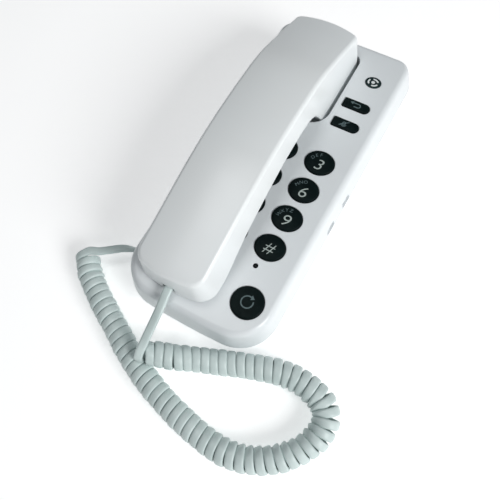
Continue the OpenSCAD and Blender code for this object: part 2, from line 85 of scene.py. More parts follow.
LOW_HALF = [(-97, 23.6), (-80, 23.6), (-60, 23.4), (-40, 23.4), (-20, 23), (0, 22.5), (20, 22.3),
            (34, 22.4), (46, 23), (60, 23.4), (85, 23.4), (98, 23)]
TOP_RISE = [(-97, 21), (-90, 22.6), (-80, 24.4), (-70, 26.2), (-57, 28.6), (-45, 30.8), (-30, 33.2),
            (-15, 34.8), (0, 35.4), (15, 35.2), (28, 34.6), (38, 33.8), (46, 32.6), (53, 30.8),
            (60, 28.4), (68, 25.6), (77, 22.4), (86, 19), (93, 16.4), (100, 13.8)]
LOW_RISE = [(-97, 0.4), (-78, 0.4), (-70, 2.2), (-60, 6.5), (-45, 12), (-30, 15), (-15, 16.6),
            (0, 17.2), (15, 17), (25, 15.8), (32, 12.4), (37, 6), (40.5, -1), (43, -6), (46, -10),
            (49, -11), (86.5, -11), (88.5, -8), (90.5, 0.5), (100, 0.5)]

# The curly part's centre line, and the straight stretches at the base and at the handset
COIL_ROUTE = [(-77, -96.4, 7.5), (-75.4, -98.1, 7.5), (-69, -105, 7.5), (-58, -112.5, 7.5), (-46, -119.5, 7.5),
              (-33, -126.5, 7.5), (-21.5, -133, 7.5), (-8.5, -139, 7.5), (7, -144.5, 7.5), (22, -148.5, 7.5),
              (38, -151.5, 7.5), (53, -152.5, 7.5), (64, -150.5, 7.5), (73.5, -146, 7.5), (81.5, -140, 7.5),
              (88, -132, 7.5), (92.5, -123, 7.5), (93.5, -115.5, 7.5), (92, -109.5, 7.5), (87, -104.5, 7.5),
              (79.5, -102, 7.5), (70, -100.5, 7.5), (60, -101.5, 7.5), (50, -104.5, 7.5), (40, -108, 7.5),
              (30, -112, 7.6), (22, -115.3, 8.3), (13, -119.1, 10.2), (4.8, -123.2, 12.5), (-4.6, -126.6, 15),
              (-9, -128.4, 16.5), (-12.5, -129.6, 17.2)]
BASE_TAIL = [(-46.5, -80, 13.4), (-50.5, -80.4, 13.7), (-57, -82.9, 14.2), (-63.8, -87.6, 14.2),
             (-69.6, -91.4, 13.9)]
HS_TAIL = [(-11.0, -130.6, 21.6), (-10.7, -126.3, 24.2), (-10.7, -121, 26.2), (-10.7, -116, 28),
           (-10.6, -110, 30.6), (-10.7, -104, 32.6), (-11.3, -97, 34.8), (-11.5, -91.8, 35.4)]


# ---------------------------------------------------------
# Small mathematics
# ---------------------------------------------------------
def smooth_table(table):
    """Monotone cubic through the table's points."""
    x = np.array([p[0] for p in table], float)
    y = np.array([p[1] for p in table], float)
    h, d = np.diff(x), np.diff(y) / np.diff(x)
    m = np.zeros_like(x)
    m[0], m[-1] = d[0], d[-1]
    for k in range(1, len(x) - 1):
        if d[k - 1] * d[k] > 0:
            a, b = 2 * h[k] + h[k - 1], h[k] + 2 * h[k - 1]
            m[k] = (a + b) / (a / d[k - 1] + b / d[k])

    def f(at):
        at = np.clip(np.asarray(at, float), x[0], x[-1])
        k = np.clip(np.searchsorted(x, at) - 1, 0, len(x) - 2)
        t = (at - x[k]) / h[k]
        return ((2 * t**3 - 3 * t**2 + 1) * y[k] + (t**3 - 2 * t**2 + t) * h[k] * m[k]
                + (-2 * t**3 + 3 * t**2) * y[k + 1] + (t**3 - t**2) * h[k] * m[k + 1])
    return f


low_half, top_rise, low_rise = (smooth_table(t) for t in (LOW_HALF, TOP_RISE, LOW_RISE))


def spline(points, step):
    """Smooth curve through points (centripetal), resampled about step apart."""
    p = np.array(points, float)
    p = np.vstack([2 * p[0] - p[1], p, 2 * p[-1] - p[-2]])
    out = []
    for i in range(1, len(p) - 2):
        p0, p1, p2, p3 = p[i - 1:i + 3]
        t0 = 0.0
        t1 = t0 + max(np.linalg.norm(p1 - p0), 1e-9) ** 0.5
        t2 = t1 + max(np.linalg.norm(p2 - p1), 1e-9) ** 0.5
        t3 = t2 + max(np.linalg.norm(p3 - p2), 1e-9) ** 0.5
        for t in np.linspace(t1, t2, 40, endpoint=False):
            a1 = (t1 - t) / (t1 - t0) * p0 + (t - t0) / (t1 - t0) * p1
            a2 = (t2 - t) / (t2 - t1) * p1 + (t - t1) / (t2 - t1) * p2
            a3 = (t3 - t) / (t3 - t2) * p2 + (t - t2) / (t3 - t2) * p3
            b1 = (t2 - t) / (t2 - t0) * a1 + (t - t0) / (t2 - t0) * a2
            b2 = (t3 - t) / (t3 - t1) * a2 + (t - t1) / (t3 - t1) * a3
            out.append((t2 - t) / (t2 - t1) * b1 + (t - t1) / (t2 - t1) * b2)
    out = np.array(out + [p[-2]])
    along = np.concatenate([[0], np.cumsum(np.linalg.norm(np.diff(out, axis=0), axis=1))])
    at = np.linspace(0, along[-1], max(2, int(round(along[-1] / step)) + 1))
    return np.stack([np.interp(at, along, out[:, k]) for k in range(out.shape[1])], axis=1)


def unit(v):
    return v / np.maximum(np.linalg.norm(v, axis=-1, keepdims=True), 1e-12)


def ease(t):
    """From 0 to 1, level at both ends."""
    return t * t * (3 - 2 * t)


def running_mean(values, n):
    """Mean over n neighbours, an odd number, with the end values held."""
    return np.convolve(np.pad(values, n // 2, mode="edge"), np.ones(n) / n, mode="valid")


def arc_steps(*degrees):
    """Inset and rise of a quarter circle of radius 1 at each angle, level with the wall at 0."""
    return [(1 - math.cos(math.radians(a)), math.sin(math.radians(a))) for a in degrees]


# ---------------------------------------------------------
# Materials
# ---------------------------------------------------------
DARKER = 0.86                       # cloudy tint where none is given, against the base colour
SCUFF = (0.30, 0.30, 0.28, 1)       # colour of fine wear
SCUFF_SCALE, GLOSS_SCALE = 900.0, 3.1
GRAIN_DEPTH, RIPPLE_DEPTH = 0.00004, 0.0002
COAT_ROUGH, SKIN_DEPTH = 0.18, 0.002


def noise(nt, coordinates, scale, detail):
    n = nt.nodes.new("ShaderNodeTexNoise")
    n.inputs["Scale"].default_value = scale
    n.inputs["Detail"].default_value = detail
    nt.links.new(coordinates, n.inputs["Vector"])
    return n


def mapped(nt, value, from_range, to_range):
    r = nt.nodes.new("ShaderNodeMapRange")
    r.inputs["From Min"].default_value, r.inputs["From Max"].default_value = from_range
    r.inputs["To Min"].default_value, r.inputs["To Max"].default_value = to_range
    nt.links.new(value, r.inputs["Value"])
    return r.outputs["Result"]


def material(name, base, rough, tint=None, tint_scale=40.0, grain=0.0, grain_scale=2500.0, metallic=0.0,
             coat=0.0, rough_spread=0.06, transmission=0.0, ior=1.46, wear=0.0, ripple=0.0, ripple_scale=220.0,
             subsurface=0.0, emission=0.0, specular=None):
    """Principled plastic, rubber or metal with cloudy colour, uneven gloss and a fine moulded grain."""
    m = bpy.data.materials.new(name)
    m.use_nodes = True
    nt = m.node_tree
    nt.nodes.clear()
    out = nt.nodes.new("ShaderNodeOutputMaterial")
    b = nt.nodes.new("ShaderNodeBsdfPrincipled")
    nt.links.new(b.outputs[0], out.inputs[0])
    place = nt.nodes.new("ShaderNodeTexCoord").outputs["Object"]

    cloud = noise(nt, place, tint_scale, 1.5)
    cloud.inputs["Roughness"].default_value = 0.45
    ramp = nt.nodes.new("ShaderNodeValToRGB")
    low, high = ramp.color_ramp.elements
    low.position, high.position = 0.32, 0.68
    low.color = (*(tint or tuple(c * DARKER for c in base)), 1)
    high.color = (*base, 1)
    nt.links.new(cloud.outputs["Fac"], ramp.inputs["Fac"])
    colour = ramp.outputs["Color"]
    if wear:
        specks = mapped(nt, noise(nt, place, SCUFF_SCALE, 3.0).outputs["Fac"], (0.62, 0.76), (0.0, wear))
        mix = nt.nodes.new("ShaderNodeMix")
        mix.data_type = "RGBA"
        nt.links.new(specks, mix.inputs["Factor"])
        nt.links.new(colour, mix.inputs[6])
        mix.inputs[7].default_value = SCUFF
        colour = mix.outputs[2]
    nt.links.new(colour, b.inputs["Base Color"])

    gloss = noise(nt, place, tint_scale * GLOSS_SCALE, 2.0)
    rough_range = (max(0.02, rough - rough_spread), min(1.0, rough + rough_spread))
    nt.links.new(mapped(nt, gloss.outputs["Fac"], (0.3, 0.7), rough_range), b.inputs["Roughness"])

    normal = None
    for scale, strength, depth in ((grain_scale, grain, GRAIN_DEPTH), (ripple_scale, ripple, RIPPLE_DEPTH)):
        if strength:
            bump = nt.nodes.new("ShaderNodeBump")
            bump.inputs["Strength"].default_value = strength
            bump.inputs["Distance"].default_value = depth
            nt.links.new(noise(nt, place, scale, 3.0).outputs["Fac"], bump.inputs["Height"])
            if normal is not None:
                nt.links.new(normal, bump.inputs["Normal"])
            normal = bump.outputs["Normal"]
    if normal is not None:
        nt.links.new(normal, b.inputs["Normal"])
    b.inputs["Metallic"].default_value = metallic
    b.inputs["IOR"].default_value = ior
    b.inputs["Coat Weight"].default_value = coat
    b.inputs["Coat Roughness"].default_value = COAT_ROUGH
    b.inputs["Transmission Weight"].default_value = transmission
    b.inputs["Subsurface Weight"].default_value = subsurface
    b.inputs["Subsurface Radius"].default_value = (SKIN_DEPTH, SKIN_DEPTH, SKIN_DEPTH)
    b.inputs["Subsurface Scale"].default_value = 1.0
    if specular is not None:
        b.inputs["Specular IOR Level"].default_value = specular
    if emission:
        b.inputs["Emission Color"].default_value = (1, 1, 1, 1)
        b.inputs["Emission Strength"].default_value = emission
    return m


M = {
    "shell": material("shell_abs", (0.770, 0.806, 0.822), 0.32, tint=(0.742, 0.774, 0.790), tint_scale=22,
                      grain=0.10, coat=0.12, wear=0.004, rough_spread=0.02),
    "shell_handset": material("shell_abs_handset", (0.862, 0.895, 0.903), 0.32, tint=(0.836, 0.862, 0.864),
                              tint_scale=18, grain=0.10, coat=0.12, wear=0.004, rough_spread=0.02),
    "key": material("key_abs", (0.0030, 0.0085, 0.0085), 0.46, tint=(0.0018, 0.0058, 0.0060), tint_scale=160,
                    grain=0.35, grain_scale=3200, specular=0.09),
    "ink": material("print_ink", (0.46, 0.52, 0.49), 0.55, tint=(0.36, 0.42, 0.40), tint_scale=900, grain=0.2),
    "faint_ink": material("print_ink_faint", (0.120, 0.170, 0.180), 0.55, tint=(0.080, 0.120, 0.125),
                          tint_scale=900, grain=0.2),
    "badge_ink": material("badge_ink", (0.78, 0.82, 0.82), 0.4, tint=(0.70, 0.74, 0.74), tint_scale=600),
    "badge": material("badge_foil", (0.012, 0.030, 0.030), 0.22, tint=(0.008, 0.020, 0.022), tint_scale=300,
                      coat=0.4),
    "cord": material("cord_pvc", (0.630, 0.722, 0.708), 0.42, tint=(0.545, 0.635, 0.622), tint_scale=110,
                     grain=0.30, grain_scale=1500, ripple=0.25, ripple_scale=420, subsurface=0.06),
    "black": material("black_abs", (0.018, 0.018, 0.019), 0.5, tint_scale=200, grain=0.5, wear=0.06),
    "rubber": material("rubber_black", (0.030, 0.030, 0.030), 0.78, tint=(0.045, 0.045, 0.043), tint_scale=180,
                       grain=0.8, grain_scale=1600, wear=0.15),
    "silicone": material("silicone_mat", (0.60, 0.62, 0.61), 0.62, tint_scale=90, grain=0.3, subsurface=0.1),
    "steel": material("zinc_steel", (0.62, 0.62, 0.63), 0.30, tint=(0.50, 0.50, 0.52), tint_scale=420,
                      metallic=1.0, grain=0.4, grain_scale=1800),
    "board": material("solder_mask", (0.020, 0.170, 0.060), 0.34, tint=(0.012, 0.110, 0.040), tint_scale=260,
                      grain=0.25, coat=0.3, ripple=0.4, ripple_scale=600),
    "sleeve": material("capacitor_sleeve", (0.030, 0.035, 0.130), 0.30, tint_scale=300, coat=0.3, grain=0.2),
    "winding": material("taped_winding", (0.42, 0.30, 0.08), 0.5, tint_scale=500, grain=0.5, ripple=0.5),
    "clear": material("clear_polycarbonate", (0.86, 0.90, 0.91), 0.12, tint=(0.80, 0.85, 0.86), tint_scale=120,
                      transmission=0.85, ior=1.58, grain=0.05),
    "lens": material("lens_dark", (0.003, 0.006, 0.008), 0.30, tint=(0.006, 0.006, 0.008), tint_scale=500,
                     specular=0.15),
    "floor": material("floor_sweep", (0.90, 0.90, 0.90), 0.75, tint=(0.885, 0.885, 0.885), tint_scale=3,
                      emission=0.42),
}

SLOT_MATERIAL = {
    "white_shell": "shell", "key_plastic": "key", "cord_pvc": "cord", "black_rubber": "rubber",
    "silicone": "silicone", "steel": "steel", "board_green": "board", "black_plastic": "black",
    "capacitor_sleeve": "sleeve", "transformer_core": "winding", "clear_plastic": "clear",
    "lens_plastic": "lens", "badge_plastic": "badge",
}


# ---------------------------------------------------------
# Mesh tools
# ---------------------------------------------------------
def mesh_from(name, verts_mm, faces):
    me = bpy.data.meshes.new(name)
    me.from_pydata([tuple(v) for v in np.asarray(verts_mm, float) * MM], [], [tuple(int(i) for i in f) for f in faces])
    me.validate()
    return me


def new_object(name, me):
    o = bpy.data.objects.new(name, me)
    bpy.context.scene.collection.objects.link(o)
    return o


def tidy(me, merge=2e-6):
    bm = bmesh.new()
    bm.from_mesh(me)
    bmesh.ops.remove_doubles(bm, verts=bm.verts, dist=merge)
    bmesh.ops.recalc_face_normals(bm, faces=bm.faces)
    bm.to_mesh(me)
    bm.free()
    return me


CAP_STEPS = 14


def band(low, high, n):
    """Faces between two rings of n points, whose first vertices are low and high."""
    return [(low + i, low + (i + 1) % n, high + (i + 1) % n, high + i) for i in range(n)]


def slab_faces(n):
    """Faces of a closed slab: one ring of n points, then the other."""
    return band(0, n, n) + [list(range(n)), list(range(n, 2 * n))]


def loft_mesh(name, rings, low_grid=None, high_grid=None):
    """Closed body through a stack of outlines. An end is flat, or curved by a function that gives its height."""
    n = len(rings[0])
    verts = [p for r in rings for p in r]
    faces = [f for k in range(len(rings) - 1) for f in band(k * n, (k + 1) * n, n)]
    for ring, grid in ((0, low_grid), (len(rings) - 1, high_grid)):
        if grid is None:
            faces.append([ring * n + i for i in range(n)])
            continue
        half, m = n // 2, CAP_STEPS
        start = len(verts)
        for i in range(half):
            a, b = rings[ring][i], rings[ring][n - 1 - i]
            for k in range(m + 1):
                t = k / m
                x, y = a[0] * (1 - t) + b[0] * t, a[1] * (1 - t) + b[1] * t
                verts.append((x, y, grid(x, y)) if 0 < k < m else (a if k == 0 else b))
        for i in range(half - 1):
            for k in range(m):
                q = start + i * (m + 1) + k
                faces.append((q, q + 1, q + m + 2, q + m + 1))
    return tidy(mesh_from(name, verts, faces))


def half_outline(hw, y0, y1, r0, r1, n_end, n_cor, n_side):
    """Right half of a rounded rectangle: half width, two ends, and the corner radius at each."""
    pts = [((hw - r0) * (i + 0.5) / n_end, y0) for i in range(n_end)]
    for i in range(n_cor + 1):
        a = math.pi / 2 * i / n_cor
        pts.append((hw - r0 + r0 * math.sin(a), y0 + r0 - r0 * math.cos(a)))
    for i in range(1, n_side):
        pts.append((hw, y0 + r0 + (y1 - r1 - y0 - r0) * i / n_side))
    for i in range(n_cor + 1):
        a = math.pi / 2 * i / n_cor
        pts.append((hw - r1 + r1 * math.cos(a), y1 - r1 + r1 * math.sin(a)))
    for i in range(n_end):
        pts.append(((hw - r1) * (n_end - 0.5 - i) / n_end, y1))
    return pts


def outline(hw, y0, y1, r0, r1, n_end=10, n_cor=14, n_side=30, b0=0.0, b1=0.0):
    """Rounded rectangle whose ends bow outwards by b0 and b1."""
    half = half_outline(hw, y0, y1, r0, r1, n_end, n_cor, n_side)
    full = np.array(half + [(-x, y) for x, y in reversed(half)], float)
    m = (y0 + y1) / 2
    f = (full[:, 1] - m) / (y1 - m)
    k = 1 - (full[:, 0] / hw) ** 2
    full[:, 1] += k * f * np.where(f < 0, b0, b1)
    return full


def flat_ring(pts, z):
    return np.column_stack([pts, np.full(len(pts), z)])


def oval_pts(w, d, n=72):
    a = np.linspace(0, 2 * math.pi, n, endpoint=False)
    return np.column_stack([w / 2 * np.cos(a), d / 2 * np.sin(a)])


def d_pts(grow=0.0, r=0.9, n=12):
    """Function key outline: rounded square at the left, half circle at the right."""
    x0, h = -FUNC_W / 2 - grow, FUNC_D / 2 + grow
    r = max(r + grow, 0.25)
    pts = []
    cx = FUNC_W / 2 - FUNC_D / 2
    for i in range(2 * n + 1):
        a = -math.pi / 2 + math.pi * i / (2 * n)
        pts.append((cx + h * math.cos(a), h * math.sin(a)))
    for i in range(n + 1):
        a = math.pi / 2 + math.pi / 2 * i / n
        pts.append((x0 + r + r * math.cos(a), h - r + r * math.sin(a)))
    for i in range(n + 1):
        a = math.pi + math.pi / 2 * i / n
        pts.append((x0 + r + r * math.cos(a), -h + r + r * math.sin(a)))
    return np.array(pts)


def prism(name, profile):
    """Closed solid from (outline points, z) pairs, low to high."""
    return loft_mesh(name, [flat_ring(p, z) for p, z in profile])


def cylinder_mesh(name, at, r, z0, z1, n=40):
    c = oval_pts(2 * r, 2 * r, n)
    v = [(x + at[0], y + at[1], z) for z in (z0, z1) for x, y in c]
    return tidy(mesh_from(name, v, slab_faces(n)))


def box_mesh(name, lo, hi):
    x0, y0, z0 = lo
    x1, y1, z1 = hi
    v = [(x, y, z) for z in (z0, z1) for y in (y0, y1) for x in (x0, x1)]
    f = [(0, 1, 3, 2), (4, 5, 7, 6), (0, 1, 5, 4), (2, 3, 7, 6), (0, 2, 6, 4), (1, 3, 7, 5)]
    return tidy(mesh_from(name, v, f))


def moved(me, x=0.0, y=0.0, z=0.0):
    me.transform(Matrix.Translation((x * MM, y * MM, z * MM)))
    return me


def joined(meshes):
    bm = bmesh.new()
    for m in meshes:
        bm.from_mesh(m)
    me = bpy.data.meshes.new("joined")
    bm.to_mesh(me)
    bm.free()
    return me


def boolean(me, other, how):
    """Exact boolean of two meshes."""
    a, b = new_object("bool_a", me), new_object("bool_b", other)
    mod = a.modifiers.new("b", "BOOLEAN")
    mod.operation, mod.solver, mod.object = how, "EXACT", b
    bpy.context.view_layer.update()
    dg = bpy.context.evaluated_depsgraph_get()
    out = bpy.data.meshes.new_from_object(a.evaluated_get(dg))
    bpy.data.objects.remove(a)
    bpy.data.objects.remove(b)
    return out


def shade(o, angle=38.0, weighted=True):
    """Smooth shading with creases kept, and flat faces kept flat."""
    me = o.data
    me.polygons.foreach_set("use_smooth", np.ones(len(me.polygons), bool))
    me.set_sharp_from_angle(angle=math.radians(angle))
    if weighted:
        mod = o.modifiers.new("weighted_normals", "WEIGHTED_NORMAL")
        mod.keep_sharp, mod.weight, mod.mode = True, 70, "FACE_AREA"
    return o


def piece(name, me, mat, body, stands_for=(), angle=38.0, weighted=True):
    """Object in the scene with its materials, riding on a body in place of CAD nodes."""
    o = new_object(name, me)
    index = np.zeros(len(me.polygons), np.int32)
    me.polygons.foreach_get("material_index", index)
    me.materials.clear()
    mats = mat if isinstance(mat, (list, tuple)) else [mat]
    for m in mats:
        me.materials.append(M[m])
    me.polygons.foreach_set("material_index", np.minimum(index, len(mats) - 1).astype(np.int32))
    shade(o, angle, weighted)
    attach(o, body)
    if stands_for:
        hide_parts(*stands_for)
    return o


# ---------------------------------------------------------
# Camera, placed as the photograph's, in metres
# ---------------------------------------------------------
cam_data = bpy.data.cameras.new("camera")
cam = bpy.data.objects.new("camera", cam_data)
bpy.context.scene.collection.objects.link(cam)
back = Vector((0.255, -0.282, 0.925)).normalized()
right = Vector((0.866, 0.492, -0.089))
right = (right - back * right.dot(back)).normalized()
up = back.cross(right)
cam.matrix_world = Matrix.Translation((0.0961, -0.1428, 0.3232)) @ Matrix((right, up, back)).transposed().to_4x4()
cam_data.lens, cam_data.sensor_width = 41.11, 36.0
cam_data.clip_start, cam_data.clip_end = 0.01, 20.0
bpy.context.scene.camera = cam


# ---------------------------------------------------------
# Cord: one flat lead, straight from the base's plug, wound into its curls, straight to the handset's plug
# ---------------------------------------------------------
TURN = 2 * math.pi
ROUTE_STEP, TAIL_STEP, TURN_POINTS = 0.12, 1.1, 28
ROUTE_SMOOTHING, LEAN_SMOOTHING = 91, 7     # samples
ROUTE_Z, FLOOR_GAP = 7.5, 0.26              # height of COIL_ROUTE, and room for the leaning turns' lower edges
SHINGLED_PITCH, INNER_R = 2.9, 6.1          # least spacing of leaning turns, on a bend's inside
LOOSE_END, LOOSE_EXTRA = 6.0, 2.4           # the last turns open out
TAPER_END, TAPER = 8.0, 0.22                # and grow narrower
WOBBLE_ROOM = 0.17                          # keeps the uneven turns inside the coil's size
LAST_TURN_ENDS = math.radians(75)           # short of a whole turn
BASE_TWIST = math.radians(58)               # the flat lead turns on edge beside the base


def cord_line():
    """Ring centres and the direction of the flat section's width at each, in millimetres."""
    route = spline(COIL_ROUTE, ROUTE_STEP)
    seg = np.linalg.norm(np.diff(route, axis=0), axis=1)
    s = np.concatenate([[0], np.cumsum(seg)])

    def near_end(reach):
        return np.clip((s - (s[-1] - reach)) / reach, 0, 1)

    ax = unit(np.gradient(route, axis=0))
    heading = np.unwrap(np.arctan2(ax[:, 1], ax[:, 0]))
    kappa = running_mean(np.gradient(heading, s), ROUTE_SMOOTHING)
    # turns touch on the inside of a bend, where they lean like shingles, and fan out on its outside
    pitch = np.maximum(COIL_PITCH, SHINGLED_PITCH / np.clip(1 - INNER_R * np.abs(kappa), 0.3, 1))
    pitch = running_mean(pitch + LOOSE_EXTRA * near_end(LOOSE_END), ROUTE_SMOOTHING)
    pitch *= 1 + 0.018 * np.sin(s * 0.31) + 0.014 * np.sin(s * 0.83 + 0.6)
    rate = TURN / pitch
    theta = np.concatenate([[0], np.cumsum((rate[1:] + rate[:-1]) / 2 * seg)])
    theta *= (TURN * math.ceil(theta[-1] / TURN) - LAST_TURN_ENDS) / theta[-1]
    taper = ease(near_end(TAPER_END))
    wobble = 0.10 * np.sin(s * 0.23) + 0.07 * np.sin(s * 0.61 + 1.0)
    radius = COIL_R * (1 - TAPER * taper) + wobble * (1 - taper) - WOBBLE_ROOM
    lift = radius + CORD_T / 2 + FLOOR_GAP - ROUTE_Z
    centre = route + np.column_stack([np.zeros((len(s), 2)), lift])
    side = unit(np.column_stack([ax[:, 1], -ax[:, 0], np.zeros(len(ax))]))
    upv = np.cross(side, ax)
    upv *= np.sign(upv[:, 2:3])
    th = np.linspace(0, theta[-1], int(theta[-1] / TURN * TURN_POINTS))

    def at_turns(q):
        if q.ndim == 1:
            return np.interp(th, theta, q)
        return np.stack([np.interp(th, theta, q[:, k]) for k in range(q.shape[1])], axis=1)

    c, a, sd, uv, r, kap, pit = (at_turns(q) for q in (centre, ax, side, upv, radius, kappa, pitch))
    radial = np.cos(th)[:, None] * uv + np.sin(th)[:, None] * sd
    helix = c + r[:, None] * radial
    # room left for a turn at this place round the coil, and the lean that makes it fit
    toward = np.sin(th) * np.sign(kap) * -1
    room = pit * (1 - np.abs(kap) * r * toward)
    thick, broad = CORD_T + 0.1, CORD_W + 0.1
    lean = np.where(room < broad, np.arcsin(np.clip(thick / np.maximum(room, thick), 0, 1)), 0.0)
    lean *= np.clip((broad - room) / 0.7, 0, 1)
    lean = running_mean(lean, LEAN_SMOOTHING)
    wide_h = np.cos(lean)[:, None] * a + np.sin(lean)[:, None] * radial
    # the straight stretch at the base comes in level with the first turn
    arrives = unit(helix[1] - helix[0])
    tail0 = spline(BASE_TAIL + [helix[0] - arrives * 3.4, helix[0]], TAIL_STEP)[:-1]
    t = np.linspace(0, 1, len(tail0))[:, None]
    wide0 = (1 - t) * np.array([0.0, -1.0, 0.0]) + t * wide_h[0]
    twist = BASE_TWIST * np.clip(t[:, 0] / 0.08, 0, 1) * (1 - np.clip((t[:, 0] - 0.12) / 0.30, 0, 1)) ** 1.3
    d = unit(np.gradient(tail0, axis=0))
    wide0 = unit(wide0 - (wide0 * d).sum(1, keepdims=True) * d)
    wide0 = np.cos(twist)[:, None] * wide0 + np.sin(twist)[:, None] * np.cross(d, wide0)
    # and the one at the handset climbs from the last turn to the slot
    leaves = unit(helix[-1] - helix[-2])
    tail1 = spline([helix[-1], helix[-1] + leaves * 1.6] + HS_TAIL, TAIL_STEP)[1:]
    t = ease(np.clip(np.linspace(0, 1, len(tail1))[:, None] * 1.6, 0, 1))
    wide1 = (1 - t) * wide_h[-1] + t * np.array([-1.0, 0.0, 0.0])
    return np.vstack([tail0, helix, tail1]), np.vstack([wide0, wide_h, wide1])


def ribbon(line, wide, w, t, n=18):
    """Flat cord with round edges and slightly domed faces, swept along the line."""
    d = unit(np.gradient(line, axis=0))
    wide = unit(wide - (wide * d).sum(1, keepdims=True) * d)
    thick = np.cross(d, wide)
    ang = np.linspace(0, 2 * math.pi, n, endpoint=False)
    cx = np.sign(np.cos(ang)) * np.abs(np.cos(ang)) ** 0.55 * w / 2
    cy = np.sign(np.sin(ang)) * np.abs(np.sin(ang)) ** 0.80 * t / 2
    verts = (line[:, None, :] + cx[None, :, None] * wide[:, None, :] + cy[None, :, None] * thick[:, None, :])
    verts = verts.reshape(-1, 3)
    rings = len(line)
    faces = [f for i in range(rings - 1) for f in band(i * n, (i + 1) * n, n)]
    faces += [list(range(n)), [(rings - 1) * n + k for k in range(n)]]
    return tidy(mesh_from("cord", verts, faces), merge=1e-7)


line, wide = cord_line()
cord = new_object("curly_cord", ribbon(line, wide, CORD_W, CORD_T))
cord.data.materials.append(M["cord"])
shade(cord, 60, weighted=False)
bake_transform(cord)
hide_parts("cord_base_tail", "cord_coil", "cord_handset_tail")


# ---------------------------------------------------------
# Base
# ---------------------------------------------------------
BASE_LEAN, SHOULDER = 2.2, 4.0                        # the side walls lean in, then round over into the face
SEAM_LINE = ((0.42, 0.05), (0.16, 0.22), (0.0, 0.6))  # inset and distance from the seam, towards the wall
BACK_LEAN, BACK_R = 2.0, 1.6
WELL_RIM, TUB_WALL = 0.7, 1.5
OPENING_Z, THROUGH_Z = 20.0, 8.0                      # how far down the face's, and up the back's, cutters reach
LENS_HOLE_D, BADGE_HOLE, PLUNGER_HOLE_R = 3.0, (10.4, 8.4), 4.3
SWITCH_HALF, BASE_JACK_HALF, LINE_JACK_HALF = (10, 3.75, 1.75), (10, 4.2, 3.1), (5.4, 6, 3.9)
RECESS_HALF, RECESS_R, RECESS_X, RECESS_FLARE = (4.2, 2.1), 1.2, 45.9, 1.25
OUTSIDE_X, CUTTER_X = 60, 50
VENT_HALF, VENT_PITCH = (8, 0.8), 4


def base_ring(e, z):
    """Outline of the base at height z, moved in by e."""
    pts = outline(BASE_W / 2 - e, -BASE_L / 2 + e + MOUTH_BOW, BASE_L / 2 - e - EAR_BOW, MOUTH_CORNER - e,
                  EAR_CORNER - e, b0=MOUTH_BOW, b1=EAR_BOW, n_end=12, n_cor=16, n_side=8)
    return flat_ring(pts, z)


def bezier(p0, p1, p2, p3, n):
    t = np.linspace(0, 1, n)[:, None]
    p0, p1, p2, p3 = (np.array(p, float) for p in (p0, p1, p2, p3))
    return (1 - t) ** 3 * p0 + 3 * (1 - t) ** 2 * t * p1 + 3 * (1 - t) * t * t * p2 + t**3 * p3


def well_outline(g, z):
    """Outline of the ear cup's well at height z, grown by g."""
    pts = outline(WELL_HALF + g, WELL_Y0 - g, WELL_Y1 + g, WELL_CORNER + g, WELL_EAR_CORNER + g,
                  n_end=6, n_cor=14, n_side=10)
    pts[:, 0] += HS_X
    return flat_ring(pts, z)


def grown_oval(w, d, n=72):
    """Outline of an oval as a function of how far it is grown."""
    return lambda g: oval_pts(w + 2 * g, d + 2 * g, n)


def flare(points_at, z_low, r=0.45):
    """Cutter for an opening in the face, with a rounded rim: points_at(grow) gives its outline."""
    prof = [(points_at(0.0), z_low), (points_at(0.0), FACE_Z - r)]
    rim = arc_steps(20, 40, 60, 75)
    prof += [(points_at(r * c), FACE_Z - r + r * s) for c, s in rim]
    prof.append((points_at(r * rim[-1][0] + 0.6), FACE_Z + 1.0))
    return prism("cutter", prof)


def key_spot(i):
    return ((i % 3 - 1) * COL, FIRST_ROW - (i // 3) * ROW)


def box_about(centre, half):
    lo, hi = [c - h for c, h in zip(centre, half)], [c + h for c, h in zip(centre, half)]
    return box_mesh("box", lo, hi)


def jack_holes():
    return joined([box_about((-CUTTER_X, *BASE_JACK), BASE_JACK_HALF), box_about(LINE_JACK, LINE_JACK_HALF)])


def switch_recess(y):
    """Shallow dish in the side wall round a switch, wider outwards."""
    long, high = RECESS_HALF
    pts = outline(long, SWITCH_Z - high, SWITCH_Z + high, RECESS_R, RECESS_R, n_end=2, n_cor=6, n_side=2)
    inner = [(RECESS_X, y + p[0], p[1]) for p in pts]
    outer = [(OUTSIDE_X, y + p[0] * RECESS_FLARE, (p[1] - SWITCH_Z) * RECESS_FLARE + SWITCH_Z) for p in pts]
    return tidy(mesh_from("recess", inner + outer, slab_faces(len(pts))))


def face_openings():
    key_w, key_d, redial_d = KEY_W + 2 * GAP, KEY_D + 2 * GAP, REDIAL_D + 2 * GAP
    cutters = [moved(flare(grown_oval(key_w, key_d), OPENING_Z), *key_spot(i)) for i in range(12)]
    cutters.append(moved(flare(grown_oval(redial_d, redial_d), OPENING_Z), *REDIAL_AT))
    for at in (RECALL_AT, MUTE_AT):
        cutters.append(moved(flare(lambda g: d_pts(GAP + g), OPENING_Z, r=0.35), *at))
    cutters.append(moved(flare(grown_oval(LENS_HOLE_D, LENS_HOLE_D, 32), OPENING_Z, r=0.25), *LENS_AT))
    cutters.append(moved(flare(grown_oval(*BADGE_HOLE), FACE_Z - 0.5, r=0.15), *BADGE_AT))
    cutters.append(cylinder_mesh("hole", PLUNGER_AT, PLUNGER_HOLE_R, 5, WELL_FLOOR + 1))
    return cutters


